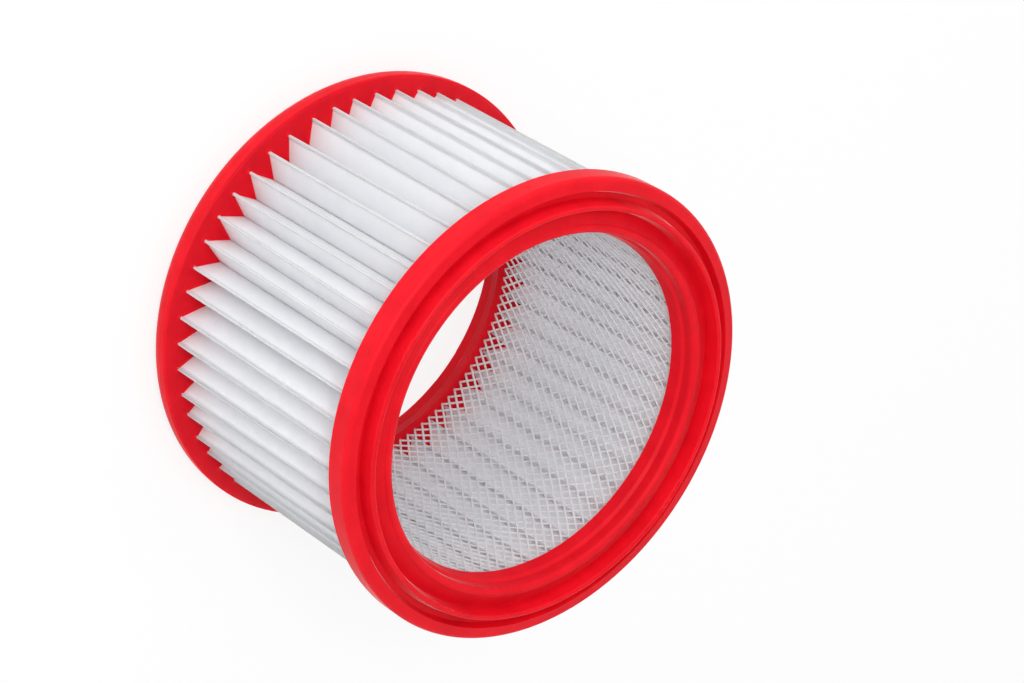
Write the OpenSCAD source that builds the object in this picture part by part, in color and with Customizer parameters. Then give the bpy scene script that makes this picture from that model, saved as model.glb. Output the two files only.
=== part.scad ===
// Cartridge filter for a wet and dry vacuum cleaner: a ring of pleated fleece on a netting
// sleeve, potted at both ends into moulded ring caps. It stands on its bottom cap, +Z up,
// with the origin at the centre of the bottom face. All sizes are in millimetres.

/* [Overall] */
// Diameter over both end caps
outer_d = 186; // [172:1:240]
// Height from the bottom face to the crest of the sealing ridge
overall_h = 131; // [90:1:220]
// Diameter of the open bore through both caps
bore_d = 142.8; // [100:0.2:148]

/* [Top cap] */
// Height of the flange face above the pleats
top_cap_t = 9.8; // [8.5:0.1:14]
// Radius of the rounded outer corner
top_corner_r = 2; // [1:0.1:4]
// Width of the flange face
flange_w = 3.7; // [2:0.1:6]
// Rise of the flange face from its outer to its inner edge
flange_rise = 0.5; // [0:0.1:1]
// Width of the groove between the flange and the sealing ridge
groove_w = 3.6; // [2.5:0.1:5]
// Depth of the groove below the flange's outer edge
groove_depth = 2.4; // [1:0.1:4]
// Width of the sealing ridge at its crest
ridge_w = 2; // [1:0.1:3]
// Height of the ridge's crest above the flange's outer edge
ridge_h = 3.8; // [2:0.1:6]
// Widening of the ridge on each side, from its crest down to its foot
ridge_draft = 1; // [0.2:0.1:2]
// Depth of the ridge's inner foot below the flange's outer edge
ridge_foot_depth = 2.6; // [1:0.1:4]
// Height of the lip round the bore above the flange's outer edge
lip_h = 1; // [0:0.1:3]
// Radius of the lip's rounded edge
lip_r = 2; // [0.5:0.1:3]

/* [Bottom cap] */
// Height of the bottom cap, from its bottom face to the pleats
bottom_cap_t = 11; // [9:0.1:16]
// Radius of the shoulder between the bottom face and the side
shoulder_r = 8; // [1:0.5:8.5]
// Radius of the bore's edge at the bottom face
bottom_edge_r = 1.5; // [0.5:0.1:3]

/* [Both caps] */
// Height of the ledge inside the bore, above the pleats
ledge_h = 5; // [2:0.1:6]
// Width of the ledge, by which it stands into the bore
ledge_w = 1.1; // [0.3:0.1:2]
// Draft of the bore below the ledge, from the ledge to the pleats
ledge_draft = 1; // [0:0.1:2]
// Radius of the rim's edge on the pleat side
rim_edge_r = 0.8; // [0.2:0.1:1.5]

/* [Pleated fleece] */
// Number of pleats
pleat_count = 52; // [24:1:80]
// Thickness of the fleece
fleece_t = 0.7; // [0.4:0.05:1.2]
// Distance from the side of the caps in to the outer folds
fold_inset = 5; // [3:0.1:9]
// Depth to which the fleece and the netting are potted into each cap
pot_depth = 3; // [1:0.1:3.5]

/* [Netting sleeve] */
// Wall thickness of the netting
net_t = 1; // [0.6:0.1:1.6]
// Distance from the narrowest part of the bore out to the netting
net_inset = 2.7; // [1:0.1:5]
// Gap between the netting and the inner folds
net_gap = 0.3; // [0.1:0.1:1]
// Number of diamond cells round the sleeve
net_cells = 36; // [12:4:48]
// Height of a diamond cell over its width
net_aspect = 1.4; // [1:0.1:1.8]
// Width of a netting strand
strand_w = 1.5; // [1:0.1:3]

/* [Hidden] */
$fn = 96;

// Radii from the outside in
rim_r = outer_d / 2;
bore_r = bore_d / 2;
waist_r = bore_r - ledge_w - ledge_draft;
net_in_r = waist_r + net_inset;
net_out_r = net_in_r + net_t;
fold_in_r = net_out_r + net_gap;
fold_out_r = rim_r - fold_inset;

// Heights from the bottom up
top_face_z = overall_h - ridge_h - top_cap_t;
media_z0 = bottom_cap_t - pot_depth;
media_z1 = top_face_z + pot_depth;

// Section of the top cap, as radii from the rim inwards and heights above the pleats
flange_out_x = rim_r - top_corner_r * 0.7;
flange_in_x = flange_out_x - flange_w;
flange_y = top_cap_t + flange_rise;
groove_y = top_cap_t - groove_depth;
groove_slope = groove_w / 3;
ridge_x = flange_in_x - groove_w - ridge_draft - ridge_w / 2;
crest_y = top_cap_t + ridge_h - ridge_w / 2;
foot_x = ridge_x - ridge_w / 2 - ridge_draft;
foot_y = top_cap_t - ridge_foot_depth;
lip_x = bore_r + lip_r;
lip_y = top_cap_t + lip_h - lip_r;

// Pleats: one outer fold and one inner fold for each pitch
pitch = 360 / pleat_count;
nose_w = fleece_t * 0.8;

// Netting: diamonds in staggered rows
cell_w = 2 * PI * net_out_r / net_cells;
cell_h = cell_w * net_aspect;
net_rows = floor((top_face_z - bottom_cap_t - strand_w) / (cell_h / 2)) - 1;
net_z0 = (top_face_z + bottom_cap_t - (net_rows - 1) * cell_h / 2) / 2;

function polar(r, a) = [r * cos(a), r * sin(a)];

// A point beside the radius at angle a: r out and w to the left
function beside(r, w, a) = [r * cos(a) - w * sin(a), r * sin(a) + w * cos(a)];

// Angle between a pleat's flank and the radius, at its outer and at its inner fold
flank_run = fold_out_r * sin(pitch / 2);
flank_a = atan2(flank_run, fold_out_r * cos(pitch / 2) - fold_in_r);
flank_out_a = flank_a - pitch / 2;

// How far the sheet's far face lies from the nose of a fold whose flanks stand at angle a
function fold_back(a) = (fleece_t - nose_w * cos(a)) / sin(a);

// Outer and inner face of the folded sheet, as closed outlines
outer_outline = [for (i = [0:pleat_count - 1], p = [
    beside(fold_out_r, -nose_w, i * pitch),
    beside(fold_out_r, nose_w, i * pitch),
    polar(fold_in_r + fold_back(flank_a), (i + 0.5) * pitch)
]) p];
inner_outline = [for (i = [0:pleat_count - 1], p = [
    polar(fold_out_r - fold_back(flank_out_a), i * pitch),
    beside(fold_in_r, -nose_w, (i + 0.5) * pitch),
    beside(fold_in_r, nose_w, (i + 0.5) * pitch)
]) p];

module folded_sheet_2d() {
    difference() {
        polygon(outer_outline);
        polygon(inner_outline);
    }
}

// Space that the potted ends of the fleece and the netting take up in a cap
module potted_ends(z) {
    translate([0, 0, z]) {
        linear_extrude(pot_depth)
            folded_sheet_2d();
        rotate_extrude()
            translate([net_in_r, 0])
                square([net_t, pot_depth]);
    }
}

// Bore wall and pleat-side face that both caps share, up to height h
module cap_base_2d(h) {
    polygon([
        [waist_r, 0],
        [rim_r - rim_edge_r, 0],
        [rim_r, rim_edge_r],
        [rim_r, h],
        [bore_r, h],
        [bore_r, ledge_h + ledge_w / 2],
        [bore_r - ledge_w / 2, ledge_h],
        [bore_r - ledge_w, ledge_h - ledge_w / 2]
    ]);
    translate([rim_r - rim_edge_r, rim_edge_r])
        circle(rim_edge_r);
}

module top_cap_2d() {
    cap_base_2d(groove_y);
    // Rounded outer corner and flange face
    translate([rim_r - top_corner_r, top_cap_t - top_corner_r])
        circle(top_corner_r);
    polygon([
        [rim_r, groove_y],
        [rim_r, top_cap_t - top_corner_r],
        [flange_out_x, top_cap_t],
        [flange_in_x, flange_y],
        [flange_in_x - groove_slope, groove_y]
    ]);
    // Sealing ridge
    translate([ridge_x, crest_y])
        circle(ridge_w / 2);
    polygon([
        [flange_in_x - groove_w, groove_y],
        [ridge_x + ridge_w / 2, crest_y],
        [ridge_x - ridge_w / 2, crest_y],
        [foot_x, foot_y],
        [foot_x, groove_y - groove_depth],
        [flange_in_x - groove_w, groove_y - groove_depth]
    ]);
    // Face that rises from the ridge's foot to the lip
    translate([lip_x, lip_y])
        circle(lip_r);
    polygon([
        [foot_x, groove_y - groove_depth],
        [foot_x, foot_y],
        [lip_x, lip_y + lip_r],
        [bore_r, lip_y],
        [bore_r, groove_y - groove_depth]
    ]);
}

module bottom_cap_2d() {
    intersection() {
        cap_base_2d(bottom_cap_t);
        union() {
            square([rim_r - shoulder_r, bottom_cap_t]);
            square([rim_r, bottom_cap_t - shoulder_r]);
            translate([rim_r - shoulder_r, bottom_cap_t - shoulder_r])
                circle(shoulder_r);
        }
    }
}

module top_cap() {
    color([0.86, 0.05, 0.08])
        difference() {
            translate([0, 0, top_face_z])
                rotate_extrude()
                    top_cap_2d();
            potted_ends(top_face_z);
        }
}

module bottom_cap() {
    color([0.86, 0.05, 0.08])
        difference() {
            translate([0, 0, bottom_cap_t])
                mirror([0, 0, 1])
                    rotate_extrude()
                        difference() {
                            bottom_cap_2d();
                            bore_edge_2d();
                        }
            potted_ends(media_z0);
        }
}

// What a rounded edge takes off the bore's corner at the bottom face
module bore_edge_2d() {
    difference() {
        translate([bore_r, bottom_cap_t - bottom_edge_r])
            square(bottom_edge_r);
        translate([bore_r + bottom_edge_r, bottom_cap_t - bottom_edge_r])
            circle(bottom_edge_r);
    }
}

module pleated_media() {
    color([0.94, 0.95, 0.96])
        translate([0, 0, media_z0])
            linear_extrude(media_z1 - media_z0)
                folded_sheet_2d();
}

// One diamond opening, cut outwards along the radius at angle a
module net_opening(a, z) {
    half_w = cell_w / 2 - strand_w / 2 * sqrt(1 + 1 / (net_aspect * net_aspect));
    half_h = half_w * net_aspect;
    rotate([0, 0, a])
        translate([net_in_r - net_t, 0, z])
            rotate([90, 0, 90])
                linear_extrude(3 * net_t)
                    polygon([[half_w, 0], [0, half_h], [-half_w, 0], [0, -half_h]]);
}

module inner_net() {
    color([0.97, 0.97, 0.98])
        difference() {
            translate([0, 0, media_z0])
                rotate_extrude()
                    translate([net_in_r, 0])
                        square([net_t, media_z1 - media_z0]);
            for (row = [0:net_rows - 1], i = [0:net_cells - 1])
                net_opening((i + (row % 2) / 2) * 360 / net_cells, net_z0 + row * cell_h / 2);
        }
}

bottom_cap();
top_cap();
pleated_media();
inner_net();
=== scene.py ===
"""Looks of a pleated cartridge filter for a wet and dry vacuum cleaner.

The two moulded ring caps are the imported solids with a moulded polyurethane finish. The fleece, the
netting and the thin skin of potting compound that creeps up the fleece are meshes made here.
All sizes are in metres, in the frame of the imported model: +Z up, the origin under the filter.
"""

import math

import bpy
import numpy as np
from mathutils import Matrix, Vector


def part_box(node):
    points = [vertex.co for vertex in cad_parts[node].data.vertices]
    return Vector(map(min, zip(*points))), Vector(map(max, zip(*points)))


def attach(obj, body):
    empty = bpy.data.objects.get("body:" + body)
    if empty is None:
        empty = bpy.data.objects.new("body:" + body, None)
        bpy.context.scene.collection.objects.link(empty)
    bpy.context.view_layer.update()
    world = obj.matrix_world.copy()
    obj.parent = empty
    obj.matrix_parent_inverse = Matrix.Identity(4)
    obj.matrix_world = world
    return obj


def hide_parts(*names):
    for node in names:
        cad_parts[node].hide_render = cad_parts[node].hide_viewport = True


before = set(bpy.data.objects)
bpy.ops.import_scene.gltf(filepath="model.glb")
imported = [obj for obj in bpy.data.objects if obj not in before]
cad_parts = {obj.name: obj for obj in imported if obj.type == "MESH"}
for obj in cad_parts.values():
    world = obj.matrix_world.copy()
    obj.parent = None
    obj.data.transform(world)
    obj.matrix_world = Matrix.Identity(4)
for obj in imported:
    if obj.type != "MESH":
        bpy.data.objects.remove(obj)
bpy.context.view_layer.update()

MM = 0.001
BODY = "root"

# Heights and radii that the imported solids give
BOTTOM_FACE_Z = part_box("bottom_cap")[1].z
TOP_FACE_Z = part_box("top_cap")[0].z
MEDIA_Z0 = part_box("pleated_media")[0].z
MEDIA_Z1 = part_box("pleated_media")[1].z
FOLD_OUT_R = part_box("pleated_media")[1].x
NET_OUT_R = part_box("inner_net")[1].x

# Camera
CAMERA_PLACE = Vector((-0.0279, -0.9647, 1.0097))
CAMERA_AZIMUTH = math.radians(-0.7)
CAMERA_ELEVATION = math.radians(43.53)
CAMERA_ROLL = math.radians(-121.1)
CAMERA_LENS = 123.83

# Fleece
PLEATS = 52
FLEECE_T = 0.45 * MM
FOLD_RADIUS = 0.45 * MM
NET_TO_FOLD = 0.35 * MM
ARC_STEPS = 5
FLANK_STEPS = 5
FLEECE_LEVELS = 26
LEVEL_EASE = 0.6
BOW_FADE = 0.6
FOLD_REACH_MIN = -0.9 * MM

# Netting
STRANDS = 116
STRAND_ANGLE = math.radians(34)
STRAND_W = 0.95 * MM
STRAND_T = 0.62 * MM
STRAND_STEPS = 24
STRAND_SIDES = 6
STRAND_END_GAP = 0.5 * MM
CROSSING_SHARE = 0.62

# Skin of potting compound
SKIN_IN_R = 69.7 * MM
SKIN_OUT_R = 92.0 * MM
SKIN_H = 0.12 * MM
MENISCUS_H = 0.55 * MM
MENISCUS_W = 0.50 * MM
SKIN_SINK = 0.3 * MM
SKIN_EDGE_W = 1.0 * MM
SKIN_COLUMNS = PLEATS * 26
NEAR_LINE = 6 * MM

# Stage: light of the surroundings at the horizon and overhead, and how far the floor glows
FLOOR_HALF = 6.0
FLOOR_GLOW = 0.80
LIGHT_AT_HORIZON = 1.32
LIGHT_OVERHEAD = 0.64

# Lamps: direction, distance, size, and the level they give a white surface that faces them
LAMP_AIM = Vector((0, 0, 0.06))
KEY_LAMP = ((-0.61, -0.75, 0.30), 1.3, 0.9, 0.20)
FRONT_LAMP = ((-0.10, -0.62, 0.78), 1.6, 0.5, 0.44)


def make_mesh(name, points, faces, smooth=True):
    """A mesh object of these points and faces, linked to the scene."""
    mesh = bpy.data.meshes.new(name)
    mesh.from_pydata([tuple(p) for p in points], [], [tuple(f) for f in faces])
    mesh.validate()
    mesh.update()
    for polygon in mesh.polygons:
        polygon.use_smooth = smooth
    obj = bpy.data.objects.new(name, mesh)
    bpy.context.scene.collection.objects.link(obj)
    return obj


def polar(radius, angle):
    return np.stack([radius * np.cos(angle), radius * np.sin(angle)], axis=-1)


# Fleece: small differences between the pleats, then the line that the middle of the sheet follows

rng = np.random.default_rng(52)
FOLD_SHIFT = rng.normal(0, 0.30, PLEATS)
FOLD_SHIFT_TOP = rng.normal(0, 0.35, PLEATS)
INNER_SHIFT = rng.normal(0, 0.35, PLEATS)
FOLD_REACH = rng.normal(0, 0.28, PLEATS) * MM
FLANK_BOW = rng.normal(0.10, 0.16, (PLEATS, 2)) * MM


def drift(angle):
    """Slow drift of the pleats round the ring, in degrees."""
    return 0.55 * math.cos(3 * (angle - math.radians(92))) + 0.35 * math.cos(4 * angle + 0.3)


def fold_angles(share):
    """Angles of the outer and the inner folds, at a share of the height from 0 to 1."""
    pitch = 2 * math.pi / PLEATS
    base = [k * pitch for k in range(PLEATS)]
    outer = np.array([a + math.radians(drift(a)) for a in base])
    outer = outer + np.radians(FOLD_SHIFT * (1 - share) + FOLD_SHIFT_TOP * share)
    following = np.append(outer[1:], outer[0] + 2 * math.pi)
    inner = (outer + following) / 2 + np.radians(INNER_SHIFT)
    return outer, inner


def tangent_normal(start, end, side=1):
    """Normal of the line that touches the fold at start on one side and the one at end on the other."""
    across = end - start
    reach = np.hypot(across[0], across[1])
    turn = side * math.acos(min(1.0, 2 * FOLD_RADIUS / reach))
    c, s = math.cos(turn), math.sin(turn)
    unit = across / reach
    return np.array([unit[0] * c - unit[1] * s, unit[0] * s + unit[1] * c])


def arc(centre, first, last, turn_left):
    """Points on a fold's arc, from the direction of first to that of last."""
    a0 = math.atan2(first[1], first[0])
    a1 = math.atan2(last[1], last[0])
    if turn_left:
        while a1 < a0:
            a1 += 2 * math.pi
    else:
        while a1 > a0:
            a1 -= 2 * math.pi
    angles = np.linspace(a0, a1, ARC_STEPS)
    return centre + polar(FOLD_RADIUS, angles), polar(np.ones(ARC_STEPS), angles)


def flank(start, end, normal, bow):
    """Points of a flank between two folds, which bows out along its normal."""
    along = np.linspace(0, 1, FLANK_STEPS + 2)[1:-1]
    return start + np.outer(along, end - start) + np.outer(bow * np.sin(np.pi * along), normal)


def fleece_line(z):
    """Points of the middle line and their outward normals, round the whole ring."""
    share = (z - MEDIA_Z0) / (MEDIA_Z1 - MEDIA_Z0)
    free_share = min(max((z - BOTTOM_FACE_Z) / (TOP_FACE_Z - BOTTOM_FACE_Z), 0), 1)
    free = math.sin(math.pi * free_share) ** BOW_FADE
    outer_a, inner_a = fold_angles(share)
    out_r = FOLD_OUT_R - FLEECE_T / 2 - FOLD_RADIUS + np.clip(FOLD_REACH, FOLD_REACH_MIN, 0)
    in_r = NET_OUT_R + NET_TO_FOLD + FLEECE_T / 2 + FOLD_RADIUS
    outer_c = polar(out_r, outer_a)
    inner_c = polar(np.full(PLEATS, in_r), inner_a)
    points, normals = [], []
    for k in range(PLEATS):
        tip, root, next_tip = outer_c[k], inner_c[k], outer_c[(k + 1) % PLEATS]
        arriving = tangent_normal(tip, inner_c[k - 1], -1)
        going_in = tangent_normal(tip, root)
        going_out = tangent_normal(next_tip, root, -1)
        fold, fold_normals = arc(tip, arriving, going_in, True)
        points.append(fold)
        normals.append(fold_normals)
        points.append(flank(
            tip + FOLD_RADIUS * going_in, root - FOLD_RADIUS * going_in,
            going_in, FLANK_BOW[k, 0] * free,
        ))
        normals.append(np.tile(going_in, (FLANK_STEPS, 1)))
        fold, fold_normals = arc(root, -going_in, -going_out, False)
        points.append(fold)
        normals.append(-fold_normals)
        points.append(flank(
            root - FOLD_RADIUS * going_out, next_tip + FOLD_RADIUS * going_out,
            going_out, FLANK_BOW[k, 1] * free,
        ))
        normals.append(np.tile(going_out, (FLANK_STEPS, 1)))
    return np.concatenate(points), np.concatenate(normals)


def fleece_levels():
    """Heights of the fleece's rings, closer together near the caps."""
    t = np.linspace(0, 1, FLEECE_LEVELS)
    eased = t - LEVEL_EASE * np.sin(2 * np.pi * t) / (2 * np.pi)
    return MEDIA_Z0 + (MEDIA_Z1 - MEDIA_Z0) * eased


def grid_faces(rows, columns, first=0, flip=False):
    """Quads of a grid that closes round its columns."""
    faces = []
    for i in range(rows - 1):
        for j in range(columns):
            a = first + i * columns + j
            b = first + i * columns + (j + 1) % columns
            quad = (a, b, b + columns, a + columns)
            faces.append(quad[::-1] if flip else quad)
    return faces


def make_fleece():
    heights = fleece_levels()
    outer, inner = [], []
    for z in heights:
        line, normal = fleece_line(z)
        level = np.full((len(line), 1), z)
        outer.append(np.hstack([line + normal * FLEECE_T / 2, level]))
        inner.append(np.hstack([line - normal * FLEECE_T / 2, level]))
    columns = len(outer[0])
    rows = len(heights)
    points = np.concatenate(outer + inner)
    shift = rows * columns
    faces = grid_faces(rows, columns) + grid_faces(rows, columns, shift, flip=True)
    for j in range(columns):
        k = (j + 1) % columns
        faces.append((k, j, shift + j, shift + k))
        last = (rows - 1) * columns
        faces.append((last + j, last + k, shift + last + k, shift + last + j))
    return make_mesh("pleated_fleece", points, faces)


def developed_length():
    line, _ = fleece_line((MEDIA_Z0 + MEDIA_Z1) / 2)
    return float(np.linalg.norm(np.roll(line, -1, axis=0) - line, axis=1).sum())


# Netting: two families of strands that cross, one over the other

def strand(angle0, slope, radius, points, faces):
    """Adds one strand that climbs the sleeve from angle0, as a closed tube of oval section."""
    first = len(points)
    z0, z1 = MEDIA_Z0 + STRAND_END_GAP, MEDIA_Z1 - STRAND_END_GAP
    for i in range(STRAND_STEPS + 1):
        z = z0 + (z1 - z0) * i / STRAND_STEPS
        a = angle0 + slope * (z - z0) / radius
        out = np.array([math.cos(a), math.sin(a), 0])
        around = np.array([-math.sin(a), math.cos(a), 0])
        tilt = math.copysign(math.sin(STRAND_ANGLE), slope)
        side = around * math.cos(STRAND_ANGLE) - np.array([0, 0, 1]) * tilt
        middle = out * radius + np.array([0, 0, z])
        for j in range(STRAND_SIDES):
            b = 2 * math.pi * (j + 0.5) / STRAND_SIDES
            points.append(
                middle + side * math.cos(b) * STRAND_W / 2 + out * math.sin(b) * STRAND_T / 2
            )
    for i in range(STRAND_STEPS):
        for j in range(STRAND_SIDES):
            k = (j + 1) % STRAND_SIDES
            a = first + i * STRAND_SIDES
            b = a + STRAND_SIDES
            faces.append((a + j, a + k, b + k, b + j))
    last = first + STRAND_STEPS * STRAND_SIDES
    faces.append(tuple(first + j for j in reversed(range(STRAND_SIDES))))
    faces.append(tuple(last + j for j in range(STRAND_SIDES)))


def make_netting():
    points, faces = [], []
    outer_r = NET_OUT_R - STRAND_T / 2
    inner_r = outer_r - STRAND_T * CROSSING_SHARE
    slope = math.tan(STRAND_ANGLE)
    for i in range(STRANDS):
        strand(2 * math.pi * i / STRANDS, slope, outer_r, points, faces)
        strand(2 * math.pi * i / STRANDS, -slope, inner_r, points, faces)
    return make_mesh("netting_sleeve", points, faces)


# Skin of potting compound on the pleat side of a cap

def line_distance(grid, line):
    """Distance from each grid point to a closed line of points."""
    start = line
    run = np.roll(line, -1, axis=0) - line
    best = np.full(len(grid), 1.0)
    length2 = (run**2).sum(axis=1)
    for s, r, l2 in zip(start, run, length2):
        near = np.abs(grid - s).max(axis=1) < NEAR_LINE
        g = grid[near] - s
        t = np.clip(g @ r / l2, 0, 1)
        d = np.hypot(*(g - np.outer(t, r)).T)
        best[near] = np.minimum(best[near], d)
    return best


def make_skin(name, face_z, up):
    """A thin ring on the cap's face at face_z that rises up (1) or hangs down (-1) by the fleece."""
    radii = np.concatenate([
        np.linspace(SKIN_IN_R, NET_OUT_R - 1.6 * MM, 3),
        np.linspace(NET_OUT_R - 1.2 * MM, FOLD_OUT_R + 1.5 * MM, 44),
        np.linspace(FOLD_OUT_R + 2 * MM, SKIN_OUT_R, 4),
    ])
    rows, columns = len(radii), SKIN_COLUMNS
    angles = np.linspace(0, 2 * math.pi, columns, endpoint=False)
    rr, aa = np.meshgrid(radii, angles, indexing="ij")
    flat = polar(rr.ravel(), aa.ravel())
    line, _ = fleece_line(face_z)
    gap = np.maximum(line_distance(flat, line) - FLEECE_T / 2, 0)
    net_gap = np.maximum(np.abs(np.hypot(*flat.T) - (NET_OUT_R - STRAND_T)) - STRAND_T, 0)
    rise = SKIN_H + MENISCUS_H * np.exp(-gap / MENISCUS_W)
    rise = rise + 0.5 * MENISCUS_H * np.exp(-net_gap / MENISCUS_W)
    edge = np.minimum(rr.ravel() - SKIN_IN_R, SKIN_OUT_R - rr.ravel()) / SKIN_EDGE_W
    rise = rise * np.clip(edge, 0, 1) ** 0.5
    top = np.hstack([flat, (face_z + up * rise)[:, None]])
    base = np.hstack([flat, np.full((len(flat), 1), face_z - up * SKIN_SINK)])
    last = (rows - 1) * columns
    outer0 = rows * columns
    inner0 = outer0 + columns
    points = np.concatenate([top, base[last:], base[:columns]])
    faces = grid_faces(rows, columns, flip=up > 0)
    for j in range(columns):
        k = (j + 1) % columns
        outer_side = (last + j, last + k, outer0 + k, outer0 + j)
        inner_side = (inner0 + j, inner0 + k, k, j)
        underside = (outer0 + j, outer0 + k, inner0 + k, inner0 + j)
        for quad in (outer_side, inner_side, underside):
            faces.append(quad[::-1] if up > 0 else quad)
    return make_mesh(name, points, faces)


# Materials

def new_material(name):
    material = bpy.data.materials.new(name)
    material.use_nodes = True
    tree = material.node_tree
    tree.nodes.clear()
    return material, tree


def add_node(tree, kind, inputs=(), **settings):
    """A node of this kind, with its inputs set by name or number and its settings by name."""
    node = tree.nodes.new(kind)
    for key, value in settings.items():
        setattr(node, key, value)
    for key, value in dict(inputs).items():
        if isinstance(value, bpy.types.NodeSocket):
            tree.links.new(value, node.inputs[key])
        else:
            node.inputs[key].default_value = value
    return node


def noise(tree, where, scale, detail=3.0, roughness=0.55):
    return add_node(tree, "ShaderNodeTexNoise", {
        "Vector": where, "Scale": scale, "Detail": detail, "Roughness": roughness,
    }).outputs["Fac"]


def ramp(tree, fac, stops):
    """A colour ramp with (place, colour) stops."""
    node = add_node(tree, "ShaderNodeValToRGB", {"Fac": fac})
    elements = node.color_ramp.elements
    while len(elements) < len(stops):
        elements.new(0.5)
    for element, (place, colour) in zip(elements, stops):
        element.position = place
        element.color = (*colour, 1)
    return node.outputs["Color"]


def scaled(tree, value, low, high):
    return add_node(tree, "ShaderNodeMapRange", {
        "Value": value, "To Min": low, "To Max": high,
    }).outputs["Result"]


def blended(tree, share, first, second):
    """A value between two others, at a share from 0 to 1."""
    return add_node(tree, "ShaderNodeMix", {
        0: share, 2: first, 3: second,
    }, data_type="FLOAT").outputs[0]


def seen_directly(tree):
    """1 for camera, glossy and transmission rays, and 0 for the rays that carry light."""
    path = add_node(tree, "ShaderNodeLightPath").outputs
    seen = path["Is Camera Ray"]
    for kind in ("Is Glossy Ray", "Is Transmission Ray"):
        inputs = {0: seen, 1: path[kind]}
        seen = add_node(tree, "ShaderNodeMath", inputs, operation="MAXIMUM").outputs[0]
    return seen


def bump(tree, height, distance, strength=1.0, below=None):
    inputs = {"Height": height, "Distance": distance, "Strength": strength}
    if below is not None:
        inputs["Normal"] = below
    return add_node(tree, "ShaderNodeBump", inputs).outputs["Normal"]


def red_polyurethane():
    """Soft moulded polyurethane: saturated red, a fine grain from the mould and a dull gloss."""
    material, tree = new_material("red_polyurethane")
    where = add_node(tree, "ShaderNodeTexCoord").outputs["Object"]
    cloud = noise(tree, where, 90, 3)
    grain = noise(tree, where, 2600, 2, 0.6)
    colour = ramp(tree, blended(tree, 0.45, cloud, grain), [
        (0.30, (0.560, 0.0010, 0.0080)),
        (0.50, (0.665, 0.0015, 0.0110)),
        (0.72, (0.740, 0.0050, 0.0140)),
    ])
    coarse = bump(tree, cloud, 0.10 * MM, 0.5)
    fine = bump(tree, grain, 0.045 * MM, 0.8, coarse)
    shader = add_node(tree, "ShaderNodeBsdfPrincipled", {
        "Base Color": colour,
        "Roughness": scaled(tree, grain, 0.42, 0.62),
        "Specular IOR Level": 0.15,
        "Subsurface Weight": 0.3,
        "Subsurface Radius": (1.0, 0.12, 0.10),
        "Subsurface Scale": 0.003,
        "Sheen Weight": 0.35,
        "Sheen Roughness": 0.20,
        "Sheen Tint": (1.0, 0.80, 0.76, 1),
        "Normal": fine,
    })
    add_node(tree, "ShaderNodeOutputMaterial", {"Surface": shader.outputs[0]})
    return material


def spunbond_fleece():
    """Spunbond polyester: random fibres, faint bonding points, and light that shows through."""
    material, tree = new_material("spunbond_fleece")
    where = add_node(tree, "ShaderNodeTexCoord").outputs["Object"]
    cloud = noise(tree, where, 160, 4)
    along = add_node(tree, "ShaderNodeMapping", {"Vector": where, "Scale": (1, 1, 0.28)}).outputs[0]
    across = add_node(tree, "ShaderNodeMapping", {"Vector": where, "Scale": (0.4, 0.4, 1)}).outputs[0]
    fibre_a = noise(tree, along, 3600, 2, 0.7)
    fibre_b = noise(tree, across, 3000, 2, 0.7)
    fibres = blended(tree, 0.5, fibre_a, fibre_b)
    colour = ramp(tree, blended(tree, 0.55, cloud, fibres), [
        (0.30, (0.905, 0.915, 0.930)),
        (0.55, (0.945, 0.952, 0.962)),
        (0.75, (0.970, 0.972, 0.976)),
    ])
    soft = bump(tree, cloud, 0.12 * MM, 0.5)
    fine = bump(tree, fibres, 0.06 * MM, 0.8, soft)
    cloth = add_node(tree, "ShaderNodeBsdfPrincipled", {
        "Base Color": colour, "Roughness": 0.85, "Specular IOR Level": 0.25,
        "Sheen Weight": 0.1, "Sheen Roughness": 0.5, "Normal": fine,
    })
    through = add_node(tree, "ShaderNodeBsdfTranslucent", {"Color": colour, "Normal": fine})
    both = add_node(tree, "ShaderNodeMixShader", {
        0: 0.50, 1: cloth.outputs[0], 2: through.outputs[0],
    })
    add_node(tree, "ShaderNodeOutputMaterial", {"Surface": both.outputs[0]})
    return material


def netting_plastic():
    """Extruded white plastic: a slight gloss, faint flow marks, and light that shows through."""
    material, tree = new_material("netting_plastic")
    where = add_node(tree, "ShaderNodeTexCoord").outputs["Object"]
    cloud = noise(tree, where, 400, 3)
    colour = ramp(tree, cloud, [(0.3, (0.92, 0.925, 0.93)), (0.7, (0.96, 0.96, 0.965))])
    shader = add_node(tree, "ShaderNodeBsdfPrincipled", {
        "Base Color": colour,
        "Roughness": scaled(tree, cloud, 0.30, 0.50),
        "Specular IOR Level": 0.3,
        "Normal": bump(tree, cloud, 0.02 * MM, 0.6),
    })
    through = add_node(tree, "ShaderNodeBsdfTranslucent", {"Color": colour})
    both = add_node(tree, "ShaderNodeMixShader", {
        0: 0.45, 1: shader.outputs[0], 2: through.outputs[0],
    })
    add_node(tree, "ShaderNodeOutputMaterial", {"Surface": both.outputs[0]})
    return material


def white_floor():
    """A matt white floor that the camera sees as near white, and that keeps a soft shadow."""
    material, tree = new_material("white_floor")
    inputs = {0: seen_directly(tree), 1: FLOOR_GLOW}
    share = add_node(tree, "ShaderNodeMath", inputs, operation="MULTIPLY").outputs[0]
    matt = add_node(tree, "ShaderNodeBsdfDiffuse", {"Color": (0.90, 0.90, 0.90, 1)})
    glow = add_node(tree, "ShaderNodeEmission", {"Color": (1, 1, 1, 1), "Strength": 1.0})
    both = add_node(tree, "ShaderNodeMixShader", {
        0: share, 1: matt.outputs[0], 2: glow.outputs[0],
    })
    add_node(tree, "ShaderNodeOutputMaterial", {"Surface": both.outputs[0]})
    return material


# Stage

def make_floor():
    h = FLOOR_HALF
    corners = [(-h, -h, 0), (h, -h, 0), (h, h, 0), (-h, h, 0)]
    floor = make_mesh("floor", corners, [(0, 1, 2, 3)], False)
    floor.data.materials.append(white_floor())


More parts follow.
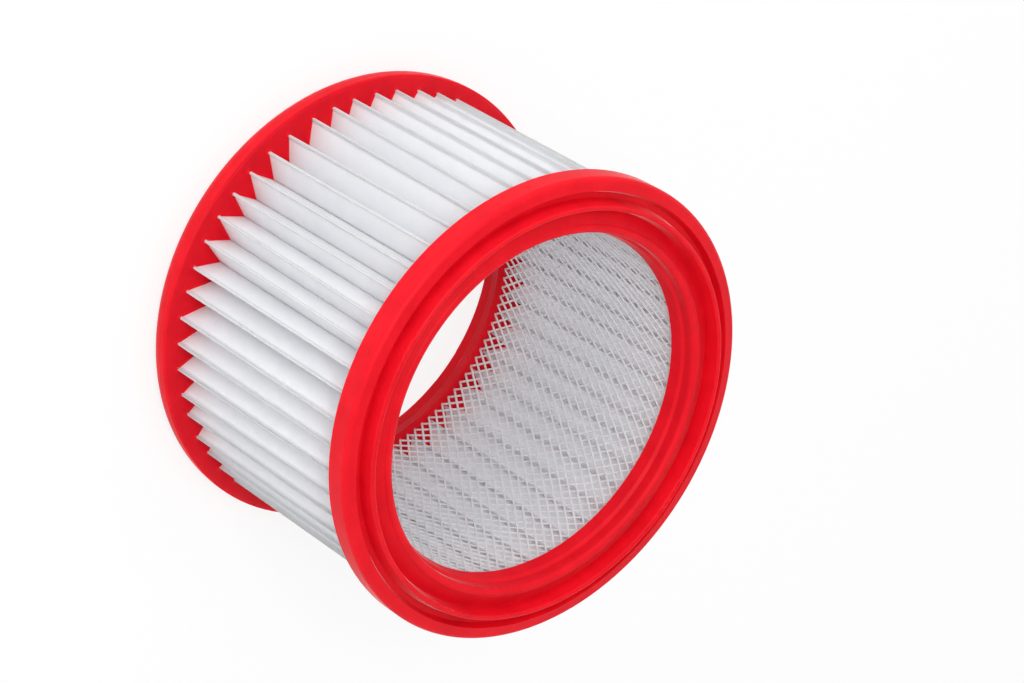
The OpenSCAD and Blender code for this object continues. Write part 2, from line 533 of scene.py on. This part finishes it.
def make_world():
    """White surroundings, brighter at the horizon than overhead, that the camera sees as white."""
    world = bpy.data.worlds.new("studio")
    bpy.context.scene.world = world
    world.use_nodes = True
    tree = world.node_tree
    tree.nodes.clear()
    where = add_node(tree, "ShaderNodeTexCoord").outputs["Generated"]
    height = add_node(tree, "ShaderNodeSeparateXYZ", {"Vector": where}).outputs["Z"]
    level = add_node(tree, "ShaderNodeMapRange", {
        "Value": height, "From Min": 0.15, "From Max": 0.75,
        "To Min": LIGHT_AT_HORIZON, "To Max": LIGHT_OVERHEAD,
    }).outputs["Result"]
    strength = blended(tree, seen_directly(tree), level, 1.0)
    sky = add_node(tree, "ShaderNodeBackground", {"Color": (1, 1, 1, 1), "Strength": strength})
    add_node(tree, "ShaderNodeOutputWorld", {"Surface": sky.outputs[0]})


def softbox(name, direction, distance, size, level):
    """A square area lamp that lights a white surface facing it to this level."""
    lamp = bpy.data.lights.new(name, "AREA")
    lamp.size = size
    lamp.energy = level * math.pi**2 * distance**2
    obj = bpy.data.objects.new(name, lamp)
    bpy.context.scene.collection.objects.link(obj)
    back = Vector(direction).normalized()
    obj.location = LAMP_AIM + back * distance
    obj.rotation_mode = "QUATERNION"
    obj.rotation_quaternion = (-back).to_track_quat("-Z", "Y")


def make_camera():
    data = bpy.data.cameras.new("camera")
    data.lens = CAMERA_LENS
    data.sensor_width = 36
    data.clip_start, data.clip_end = 0.01, 50
    camera = bpy.data.objects.new("camera", data)
    bpy.context.scene.collection.objects.link(camera)
    a, e = CAMERA_AZIMUTH, CAMERA_ELEVATION
    back = Vector((math.sin(a) * math.cos(e), -math.cos(a) * math.cos(e), math.sin(e)))
    up = (Vector((0, 0, 1)) - back * back.z).normalized()
    right = up.cross(back)
    turned_up = up * math.cos(CAMERA_ROLL) + right * math.sin(CAMERA_ROLL)
    turned_right = turned_up.cross(back)
    camera.matrix_world = Matrix.Translation(CAMERA_PLACE) @ Matrix(
        (turned_right, turned_up, back)
    ).transposed().to_4x4()
    bpy.context.scene.camera = camera


make_camera()
make_floor()
make_world()
softbox("key", *KEY_LAMP)
softbox("front", *FRONT_LAMP)

red = red_polyurethane()
for cap in ("bottom_cap", "top_cap"):
    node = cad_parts[cap]
    node.data.materials.clear()
    node.data.materials.append(red)

fleece = make_fleece()
fleece.data.materials.append(spunbond_fleece())
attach(fleece, BODY)
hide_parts("pleated_media")
developed_length()

netting = make_netting()
netting.data.materials.append(netting_plastic())
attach(netting, BODY)
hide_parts("inner_net")

skins = (
    ("bottom_potting_skin", BOTTOM_FACE_Z, 1),
    ("top_potting_skin", TOP_FACE_Z, -1),
)
for name, face_z, up in skins:
    skin = make_skin(name, face_z, up)
    skin.data.materials.append(red)
    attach(skin, BODY)

bpy.context.scene.view_settings.view_transform = "Standard"

# White cloth in narrow folds stays white only after many bounces
cycles = bpy.context.scene.cycles
cycles.max_bounces = 24
cycles.diffuse_bounces = 16
cycles.transmission_bounces = 16
